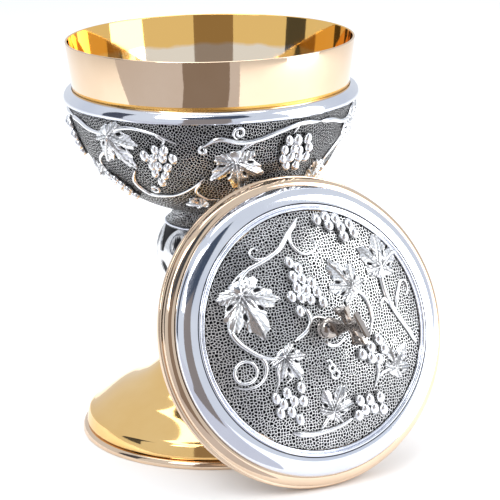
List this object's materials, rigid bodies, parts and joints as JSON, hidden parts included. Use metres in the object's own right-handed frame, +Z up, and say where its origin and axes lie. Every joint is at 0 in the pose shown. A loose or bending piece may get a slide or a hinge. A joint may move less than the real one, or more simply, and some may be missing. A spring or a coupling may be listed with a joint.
{
  "type": "ciborium vessel",
  "caption": "Footed covered cup with a gilt cup and trumpet foot, a chased silver bowl jacket and knop, and a domed lid with a cross that leans against it.",
  "frame": {"origin": "centre of the foot's flat underside, on the cup's axis", "axes": "+Z up along the cup's axis; the lid stands on edge on the -Y side, its top facing -Y, leaning back towards the bowl"},
  "size_m": [0.15, 0.2126, 0.197],
  "materials": {
    "gilt": "gold plated and mirror polished",
    "polished_silver": "silver plated and mirror polished",
    "antique_silver": "silver plated, matted ground darkened and the relief polished bright",
    "steel": "plain turned hardware"
  },
  "bodies": {
    "vessel": {"cup": "gilt", "bowl_jacket": "antique_silver", "bowl_band": "polished_silver", "neck": "antique_silver", "knop_upper_ring": "polished_silver", "knop": "antique_silver", "knop_lower_ring": "polished_silver", "stem_collar": "gilt", "foot": "gilt", "foot_base_plate": "gilt", "tie_rod": "steel", "foot_washer": "steel", "tie_nut": "steel"},
    "lid": {"lid_skirt": "gilt", "lid_liner": "gilt", "lid_silver_ring": "polished_silver", "lid_bead_ring": "polished_silver", "lid_dome": "antique_silver", "cross_knob": "polished_silver", "cross": "polished_silver", "cross_stud": "steel", "cross_washer": "steel", "cross_nut": "steel"}
  },
  "joints": [
    {"name": "lid_lift", "type": "slide", "parent": "vessel", "child": "lid", "axis": [0, -0.7071, 0.7071], "range_m": [0, 0.2]}
  ]
}
